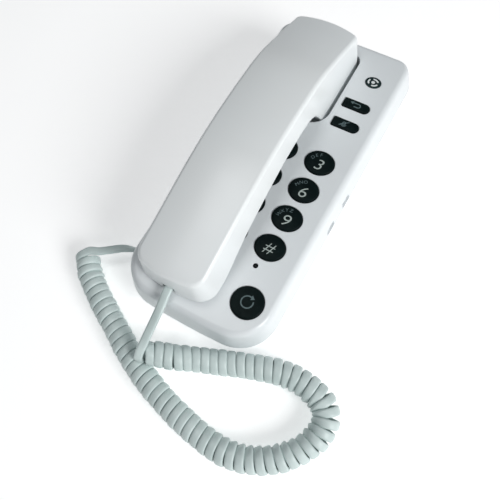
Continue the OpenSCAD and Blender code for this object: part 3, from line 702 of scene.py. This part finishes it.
def upper_case():
    """Keypad face, side walls and the ear cup's well."""
    foot, shoulder = SEAM_Z + SEAM_LINE[-1][1], FACE_Z - SHOULDER
    rings = [base_ring(7.2, PLATE_Z), base_ring(WALL + 2.6, PLATE_Z - 1.8), base_ring(WALL + 0.3, SEAM_Z + 0.05)]
    rings += [base_ring(e, SEAM_Z + h) for e, h in SEAM_LINE]
    rings += [base_ring(BASE_LEAN * k / 5, foot + (shoulder - foot) * k / 5) for k in range(1, 6)]
    over = bezier((BASE_LEAN, shoulder), (2.62, FACE_Z - 1.8), (4.0, FACE_Z), (6.2, FACE_Z), 12)
    rings += [base_ring(e, z) for e, z in over[1:]]
    tub = loft_mesh("tub", [well_outline(TUB_WALL, WELL_FLOOR - 2), well_outline(TUB_WALL, FACE_Z - 0.5)])
    case = boolean(loft_mesh("base_top", rings), tub, "UNION")

    well = [well_outline(-1.6, WELL_FLOOR), well_outline(-0.5, WELL_FLOOR + 0.35),
            well_outline(0, WELL_FLOOR + 1.4), well_outline(0, FACE_Z - WELL_RIM)]
    well += [well_outline(WELL_RIM * c, FACE_Z - WELL_RIM + WELL_RIM * s)
             for c, s in arc_steps(15, 30, 45, 60, 75)]
    well.append(well_outline(WELL_RIM + 0.8, FACE_Z + 1))
    case = boolean(case, loft_mesh("well", well), "DIFFERENCE")

    switches = [box_about((CUTTER_X, y, SWITCH_Z), SWITCH_HALF) for y in (RINGER_Y, MODE_Y)]
    case = boolean(case, joined(face_openings() + switches), "DIFFERENCE")
    for y in (RINGER_Y, MODE_Y):
        case = boolean(case, switch_recess(y), "DIFFERENCE")
    return boolean(case, jack_holes(), "DIFFERENCE")


def keyhole(y):
    """Outline of a wall hook's hole: round, with a narrower slot towards the ear end."""
    half_slot = KEYHOLE_SLOT / 2
    a0 = math.acos(half_slot / KEYHOLE_R)
    pts = []
    for k in range(41):
        a = a0 - (2 * a0 + math.pi) * k / 40
        pts.append((KEYHOLE_R * math.cos(a), y + KEYHOLE_R * math.sin(a)))
    for k in range(17):
        a = math.pi - math.pi * k / 16
        pts.append((half_slot * math.cos(a), y + KEYHOLE_RUN + half_slot * math.sin(a)))
    return np.array(pts)


def lower_case():
    """The base's back, with its keyholes, screw and foot holes, and the sounder's slots."""
    low, high = FOOT_H + BACK_R, SEAM_Z - SEAM_LINE[-1][1]
    rings = [base_ring(BACK_LEAN + BACK_R * (1 - s), FOOT_H + BACK_R * c)
             for c, s in arc_steps(*range(0, 91, 15))]
    rings += [base_ring(BACK_LEAN * (1 - k / 4), low + (high - low) * k / 4) for k in range(1, 5)]
    rings += [base_ring(e, SEAM_Z - h) for e, h in reversed(SEAM_LINE[:2])]
    rings += [base_ring(WALL + 0.4, SEAM_Z - 0.05), base_ring(WALL + 2.4, FOOT_H + 2.5)]
    cutters = [cylinder_mesh("screw", p, SCREW_HOLE_R, 0, FOOT_H + 2) for p in SCREW_AT]
    cutters += [cylinder_mesh("foot", p, FOOT_HOLE_R, 0, FOOT_H + 1) for p in FOOT_AT]
    long, narrow = VENT_HALF
    vent = outline(narrow, -long, long, 0.79, 0.79, n_end=1, n_cor=6, n_side=1)
    for i in range(-2, 3):
        pts = np.column_stack([vent[:, 1] + SOUNDER_AT[0], -vent[:, 0] + SOUNDER_AT[1] + VENT_PITCH * i])
        cutters.append(prism("vent", [(pts, 0), (pts, THROUGH_Z)]))
    cutters += [prism("keyhole", [(keyhole(y), 0), (keyhole(y), THROUGH_Z)]) for y in KEYHOLE_Y]
    back = boolean(loft_mesh("base_back", rings), joined(cutters), "DIFFERENCE")
    return boolean(back, jack_holes(), "DIFFERENCE")


piece("base_top_case", upper_case(), "shell", "root", ["base_upper_shell"])
piece("base_back_case", lower_case(), "shell", "root", ["base_lower_shell"])


# ---------------------------------------------------------
# Handset
# ---------------------------------------------------------
HS_HALF, SEAM_SWELL = 24.0, 0.4                   # half width before LOW_HALF shapes it, and added to LOW_HALF
HS_CORNERS, HS_CORNERS_TOP = (8.6, 9.0), (6.8, 4.0)  # mouth and ear ends, at the seam and at the top
GRIP_FOOT, UNDER_ROUND = 2.0, (1.3, 1.2)
EAR_HOLES = ((1, 0.0), (6, 4.0), (12, 8.0))       # how many, on which radius
EAR_HOLE_R, MIC_HOLE_R, MIC_PITCH = 0.9, 0.75, 3
DISH_R, DISH_RUN, DISH_DEPTH, EAR_FACE = 5.5, 12.0, 0.9, 11


def top_z(x, y):
    return FACE_Z + float(top_rise(y)) - CROWN * ((x - HS_X) / TOP_HALF) ** 2


def under_z(x, y):
    return FACE_Z + float(low_rise(y))


def hs_ring(s, e, h, dz):
    """Ring round the handset: s is 0 for the seam's outline and 1 for the top's, which is moved in by e.
    h is 0 at the underside and 1 at the top, and dz is added to the height."""
    y0, y1 = MOUTH_Y + HS_BOW + e + MOUTH_DRAFT * s, EAR_Y - HS_BOW - e - EAR_DRAFT * s
    r0, r1 = (a + (b - a) * s - e for a, b in zip(HS_CORNERS, HS_CORNERS_TOP))
    p = outline(HS_HALF - e, y0, y1, r0, r1, n_end=14, n_cor=14, n_side=150, b0=HS_BOW, b1=HS_BOW)
    w = ((low_half(p[:, 1]) + SEAM_SWELL) * (1 - s) + TOP_HALF * s - e) / (HS_HALF - e)
    x = p[:, 0] * w
    top = top_rise(p[:, 1]) - CROWN * (x / TOP_HALF) ** 2
    z = FACE_Z + (1 - h) * low_rise(p[:, 1]) + h * top + dz
    return np.column_stack([HS_X + x, p[:, 1], z])


def grip():
    """Upper shell: from the inside up, down to the seam, up the wall and over the top's edge."""
    rings = [hs_ring(1, 5.0, 1, -WALL), hs_ring(1, WALL + 0.6, 1, -WALL - 1.8), hs_ring(0, WALL, 0, 1.65),
             hs_ring(0, 0.24, 0, 1.65), hs_ring(0, 0.05, 0, 1.80), hs_ring(0, 0, 0, GRIP_FOOT)]
    for k in range(1, 11):
        t = k / 10
        rings.append(hs_ring(t, 0, t, GRIP_FOOT * (1 - t) - EDGE * t))
    rings += [hs_ring(1, EDGE * c, 1, -EDGE * (1 - s)) for c, s in arc_steps(*np.linspace(0, 90, 13)[1:])]
    me = loft_mesh("handset_top", rings, low_grid=lambda x, y: top_z(x, y) - WALL, high_grid=top_z)
    slot = box_mesh("slot", (HS_X - 4, MOUTH_Y - 5, SLOT_Z - 2.9), (HS_X + 4, MOUTH_Y + 10, SLOT_Z + 2.6))
    return boolean(me, slot, "DIFFERENCE")


def ear_dish():
    """Cutter for the shallow dish round the receiver's holes."""
    prof = [(oval_pts(35.6, 35.6, 64), FACE_Z - EAR_FACE - 1)]
    for k in range(7, -1, -1):
        a = k / 7
        d = 2 * (DISH_R + DISH_RUN * a)
        prof.append((oval_pts(d, d, 64), FACE_Z - EAR_FACE + DISH_DEPTH * (1 - a**2)))
    return moved(prism("dish", prof), HS_X, EAR_CUP_Y)


def under_case():
    """Lower shell with the receiver's, the microphone's and the screws' holes."""
    wide, high = UNDER_ROUND
    rings = [hs_ring(0, wide * (1 - s), 0, high * c) for c, s in arc_steps(*range(0, 91, 15))]
    rings += [hs_ring(0, 0, 0, 1.36), hs_ring(0, 0.06, 0, 1.48), hs_ring(0, 0.24, 0, 1.6),
              hs_ring(0, WALL, 0, 1.6), hs_ring(0, WALL + 1.6, 0, WALL)]
    me = loft_mesh("handset_under", rings, low_grid=under_z, high_grid=lambda x, y: under_z(x, y) + WALL)
    cutters = []
    for count, r in EAR_HOLES:
        for i in range(count):
            a = TURN * i / count
            at = (HS_X + r * math.cos(a), EAR_CUP_Y + r * math.sin(a))
            cutters.append(cylinder_mesh("ear_hole", at, EAR_HOLE_R, 10, FACE_Z, 20))
    for i in range(-2, 3):
        at = (HS_X + MIC_PITCH * i, MIC_Y)
        cutters.append(cylinder_mesh("mic_hole", at, MIC_HOLE_R, FACE_Z, FACE_Z + 10, 18))
    for y in HS_SCREW_Y:
        z = under_z(HS_X, y)
        cutters.append(cylinder_mesh("screw", (HS_X, y), SCREW_HOLE_R, z - 5, z + 0.6))
    me = boolean(me, joined(cutters), "DIFFERENCE")
    return boolean(me, ear_dish(), "DIFFERENCE")


piece("handset_top_case", grip(), "shell_handset", "handset", ["handset_top_shell"])
piece("handset_under_case", under_case(), "shell_handset", "handset", ["handset_bottom_shell"])


# ---------------------------------------------------------
# Keys with their printed marks
# ---------------------------------------------------------
EDGE_Z, RISE = FACE_Z + 0.85, 0.55
LETTERS = {"2": "ABC", "3": "DEF", "4": "GHI", "5": "JKL", "6": "MNO", "7": "PQRS", "8": "TUV", "9": "WXYZ"}
LETTER_H, LETTER_R, LETTER_AT, LETTER_FROM, LETTER_STEP = 2.1, 6.1, (0.6, -1.2), 130, 25
SLANT, THIN = 0.14, -0.010
MARK_PROUD, MARK_DEEP, MARK_MESH = 0.035, 0.12, 0.0011


def dome(x, y, w, d, edge_z, rise):
    return edge_z + rise * max(0.0, 1 - (2 * x / w) ** 2 - (2 * y / d) ** 2)


def key_mesh(points_at, w, d, rise, z_edge, r):
    """Lip, wall and rounded edge on the outline that points_at(grow) gives, and a low dome over it."""
    rings = [flat_ring(points_at(grow), z)
             for grow, z in ((1.2, LIP_Z), (1.2, LIP_Z + LIP_T), (0, LIP_Z + LIP_T), (0, z_edge - r))]
    rings += [flat_ring(points_at(-r * c), z_edge - r + r * s) for c, s in arc_steps(*range(15, 91, 15))]
    rim_pts = points_at(-r)
    steps = 9
    for k in range(1, steps):
        p = rim_pts * (1 - k / steps)
        z = np.array([dome(x, y, w - 2 * r, d - 2 * r, z_edge, rise) for x, y in p])
        rings.append(np.column_stack([p, z]))
    n = len(rim_pts)
    verts = [v for ring in rings for v in ring] + [(0, 0, z_edge + rise)]
    faces = [f for k in range(len(rings) - 1) for f in band(k * n, (k + 1) * n, n)]
    top, last = len(verts) - 1, (len(rings) - 1) * n
    faces += [(last + i, last + (i + 1) % n, top) for i in range(n)]
    faces.append(list(range(n)))
    return tidy(mesh_from("key", verts, faces))


def refine(bm, longest):
    for _ in range(4):
        long_edges = [e for e in bm.edges if e.calc_length() > longest]
        if not long_edges:
            break
        bmesh.ops.subdivide_edges(bm, edges=long_edges, cuts=1)
    bmesh.ops.triangulate(bm, faces=bm.faces)


def stamped(me, surface, proud=MARK_PROUD, deep=MARK_DEEP):
    """Lays a flat closed mark (z from 0 to 1 mm) on a curved top."""
    bm = bmesh.new()
    bm.from_mesh(me)
    bmesh.ops.remove_doubles(bm, verts=bm.verts, dist=1e-6)
    refine(bm, MARK_MESH)
    for v in bm.verts:
        x, y = v.co.x / MM, v.co.y / MM
        top = v.co.z > 0.5 * MM
        v.co.z = (surface(x, y) + (proud if top else -deep)) * MM
    bmesh.ops.recalc_face_normals(bm, faces=bm.faces)
    bm.to_mesh(me)
    bm.free()
    return me


def glyph(text, height, at, slant=0.0, turn=0.0, squeeze=1.0, offset=0.0):
    """Closed mesh of a character, its height in mm, centred at a point, z from 0 to 1 mm."""
    cu = bpy.data.curves.new("glyph", "FONT")
    cu.body, cu.size, cu.shear, cu.offset = text, 1.0, slant, offset
    cu.align_x, cu.resolution_u, cu.extrude = "CENTER", 5, 0.5
    o = new_object("glyph", cu)
    bpy.context.view_layer.update()
    me = bpy.data.meshes.new_from_object(o.evaluated_get(bpy.context.evaluated_depsgraph_get()))
    bpy.data.objects.remove(o)
    co = np.array([v.co for v in me.vertices], float)
    lo, hi = co.min(0), co.max(0)
    scale = height / (hi[1] - lo[1])
    co[:, 0] = (co[:, 0] - (lo[0] + hi[0]) / 2) * scale * squeeze
    co[:, 1] = (co[:, 1] - (lo[1] + hi[1]) / 2) * scale
    co[:, 2] = np.where(co[:, 2] > 0, 1.0, 0.0)
    c, s = math.cos(turn), math.sin(turn)
    x = co[:, 0] * c - co[:, 1] * s + at[0]
    y = co[:, 0] * s + co[:, 1] * c + at[1]
    co = np.column_stack([x, y, co[:, 2]]) * MM
    me.vertices.foreach_set("co", co.ravel())
    me.update()
    return me


def stroke(points, width, closed=False):
    """Closed ribbon of even width along points, z from 0 to 1 mm."""
    p = np.array(points, float)
    n = len(p)
    nxt, prv = np.roll(p, -1, 0), np.roll(p, 1, 0)
    if not closed:
        nxt[-1], prv[0] = p[-1], p[0]
    d = unit(nxt - prv)
    nor = np.column_stack([-d[:, 1], d[:, 0]])
    left, right = p + nor * width / 2, p - nor * width / 2
    v = [(*q, z) for z in (0, 1) for q in left] + [(*q, z) for z in (0, 1) for q in right]
    L0, L1, R0, R1 = 0, n, 2 * n, 3 * n
    f = []
    for i in range(n if closed else n - 1):
        j = (i + 1) % n
        f += [(L1 + i, L1 + j, R1 + j, R1 + i), (L0 + i, R0 + i, R0 + j, L0 + j),
              (L0 + i, L0 + j, L1 + j, L1 + i), (R0 + i, R1 + i, R1 + j, R0 + j)]
    if not closed:
        for i in (0, n - 1):
            f.append((L0 + i, R0 + i, R1 + i, L1 + i))
    return tidy(mesh_from("stroke", v, f), merge=1e-8)


def patch(points):
    """Closed flat polygon, z from 0 to 1 mm."""
    v = [(*p, z) for z in (0, 1) for p in points]
    return tidy(mesh_from("patch", v, slab_faces(len(points))))


def arc(cx, cy, r, a0, a1, n=28):
    """Points along a circle from angle a0 to a1, in degrees."""
    angles = [math.radians(a0 + (a1 - a0) * k / n) for k in range(n + 1)]
    return [(cx + r * math.cos(a), cy + r * math.sin(a)) for a in angles]


def with_marks(key_me, groups):
    """Joins marks to a key; groups are (material index, meshes)."""
    bm = bmesh.new()
    bm.from_mesh(key_me)
    for index, meshes in groups:
        for m in meshes:
            before = len(bm.faces)
            bm.from_mesh(m)
            bm.faces.ensure_lookup_table()
            for f in bm.faces[before:]:
                f.material_index = index
    out = bpy.data.meshes.new("key")
    bm.to_mesh(out)
    bm.free()
    return out


def cap(node, at, points_at, w, d, prints, rise=RISE, edge_z=EDGE_Z, r=0.75):
    """One key at its place; prints are (ink, flat marks)."""
    def top(x, y):
        return dome(x, y, w - 2 * r, d - 2 * r, edge_z, rise)

    me = key_mesh(points_at, w, d, rise, edge_z, r)
    me = with_marks(me, [(k + 1, [stamped(m, top) for m in marks]) for k, (_, marks) in enumerate(prints)])
    piece(node.replace("key_", "keycap_"), moved(me, *at), ["key"] + [ink for ink, _ in prints], node,
          [node], angle=50, weighted=False)


def key_letters(word):
    """Small letters on an arc above the digit."""
    small = []
    for k, letter in enumerate(word):
        a = math.radians(LETTER_FROM - (k - (len(word) - 1) / 2) * LETTER_STEP)
        at = (LETTER_AT[0] + LETTER_R * math.cos(a), LETTER_AT[1] + LETTER_R * math.sin(a))
        small.append(glyph(letter, LETTER_H, at, turn=(a - math.pi / 2) * 0.85))
    return small


nodes = ["key_%d" % k for k in range(1, 10)] + ["key_star", "key_0", "key_hash"]
for i, (mark, node) in enumerate(zip("123456789*0#", nodes)):
    if mark in "*#":
        big = glyph(mark, 6.6 if mark == "#" else 5.4, (0.3, -1.2), SLANT, squeeze=1.08, offset=THIN)
    else:
        big = glyph(mark, 6.6, (0.7, -1.7), SLANT, squeeze=1.17, offset=THIN)
    cap(node, key_spot(i), grown_oval(KEY_W, KEY_D), KEY_W, KEY_D,
        [("ink", [big]), ("faint_ink", key_letters(LETTERS.get(mark, "")))])

# redial: a round arrow
ARROW_R, ARROW_FROM, ARROW_TO = 3.4, 70, 385
tip_x, tip_y = ARROW_R * math.cos(math.radians(ARROW_FROM)), ARROW_R * math.sin(math.radians(ARROW_FROM))
round_arrow = [stroke(arc(0, 0, ARROW_R, ARROW_FROM, ARROW_TO), 0.75),
               patch([(tip_x + 1.9, tip_y - 0.3), (tip_x - 0.2, tip_y + 1.5), (tip_x - 0.2, tip_y - 1.5)])]
cap("key_redial", REDIAL_AT, grown_oval(REDIAL_D, REDIAL_D), REDIAL_D, REDIAL_D, [("faint_ink", round_arrow)])

# recall: an arrow that turns back; mute: a barred microphone
back_arrow = [stroke([(-2.6, 0.9), (1.4, 0.9)] + arc(1.4, -0.35, 1.25, 90, -90, 12) + [(-1.2, -1.6)], 0.6),
              patch([(-2.2, 2.1), (-4.2, 0.9), (-2.2, -0.3)])]
microphone = [stroke(arc(-0.9, 0.2, 0.85, 0, 180, 10) + arc(-0.9, -0.3, 0.85, 180, 360, 10), 0.5, closed=True),
              stroke(arc(-0.9, -0.1, 1.8, 200, 340, 14), 0.45), stroke([(-3.6, -1.9), (1.8, 2.0)], 0.5)]
for node, at, marks in (("key_recall", RECALL_AT, back_arrow), ("key_mute", MUTE_AT, microphone)):
    cap(node, at, lambda g: d_pts(g, r=0.7), FUNC_W * 1.25, FUNC_D * 1.45, [("faint_ink", marks)],
        rise=0.4, edge_z=EDGE_Z - 0.1, r=0.5)


# ---------------------------------------------------------
# Badge, a dark oval with a plain ring of bars, and the small dark lens
# ---------------------------------------------------------
BADGE_W, BADGE_D, BADGE_Z, BADGE_RISE, BADGE_FOOT = 10, 8, FACE_Z + 0.12, 0.10, FACE_Z - 0.42
LENS_D, LENS_FOOT, LENS_EDGE, LENS_RISE = 2.6, 24.0, FACE_Z - 0.3, 0.6


def badge_top(x, y):
    return dome(x, y, BADGE_W, BADGE_D, BADGE_Z, BADGE_RISE)


me = key_mesh(lambda g: oval_pts(BADGE_W + 2 * min(g, 0), BADGE_D + 2 * min(g, 0)), BADGE_W, BADGE_D,
              BADGE_RISE, BADGE_Z, r=0.12)
co = np.array([v.co for v in me.vertices])
co[:, 2] = np.maximum(co[:, 2], BADGE_FOOT * MM)
me.vertices.foreach_set("co", co.ravel())
marks = [patch(oval_pts(2.3, 2.0, 28).tolist())]
for a0 in (25, 145, 265):
    angles = [math.radians(t) for t in np.linspace(a0, a0 + 80, 16)]
    marks.append(stroke([(3.0 * math.cos(a), 2.35 * math.sin(a)) for a in angles], 0.95))
me = with_marks(tidy(me), [(1, [stamped(m, badge_top, proud=0.03, deep=0.05) for m in marks])])
piece("oval_badge", moved(me, *BADGE_AT), ["badge", "badge_ink"], "root", ["face_badge"],
      angle=50, weighted=False)

prof = [(oval_pts(LENS_D, LENS_D, 32), LENS_FOOT), (oval_pts(LENS_D, LENS_D, 32), LENS_EDGE)]
for a in range(15, 90, 15):
    d = LENS_D * math.cos(math.radians(a))
    prof.append((oval_pts(d, d, 32), LENS_EDGE + LENS_RISE * math.sin(math.radians(a))))
piece("indicator_window", moved(prism("lens", prof), *LENS_AT), "lens", "root",
      ["indicator_lens"], weighted=False)


# ---------------------------------------------------------
# Every CAD node that still shows takes its finish
# ---------------------------------------------------------
for row in frame["record"]["subparts"]:
    o = frame["nodes"][row["node"]]
    mat = M[SLOT_MATERIAL[row["material_slot"]]]
    if not o.data.materials:
        o.data.materials.append(mat)
    for s in o.material_slots:
        s.material = mat


# ---------------------------------------------------------
# Floor and studio light
# ---------------------------------------------------------
FLOOR_HALF, FLOOR_Z = 4000, -0.02
floor_corners = [(x * FLOOR_HALF, y * FLOOR_HALF, FLOOR_Z) for x, y in ((-1, -1), (1, -1), (1, 1), (-1, 1))]
floor_me = mesh_from("floor", floor_corners, [(0, 1, 2, 3)])
floor = new_object("floor", floor_me)
floor_me.materials.append(M["floor"])


def softbox(name, at, target, size, power, colour=(1, 1, 1)):
    li = bpy.data.lights.new(name, "AREA")
    li.shape, li.size, li.size_y, li.energy, li.color = "RECTANGLE", size[0], size[1], power, colour
    o = bpy.data.objects.new(name, li)
    bpy.context.scene.collection.objects.link(o)
    o.location = at
    o.rotation_euler = (Vector(target) - Vector(at)).to_track_quat("-Z", "Y").to_euler()
    return o


softbox("key_light", (1.06, -0.26, 0.74), (0.0, -0.02, 0.02), (0.55, 0.55), 12.3)
softbox("sheen_light", (-0.24, -0.02, 1.15), (0.0, 0.0, 0.03), (0.35, 0.35), 2.0)
world = bpy.data.worlds.new("studio")
bpy.context.scene.world = world
world.use_nodes = True
background = world.node_tree.nodes["Background"]
background.inputs[0].default_value = (0.90, 0.96, 1.0, 1)
background.inputs[1].default_value = 0.17
bpy.context.scene.view_settings.view_transform = "Standard"
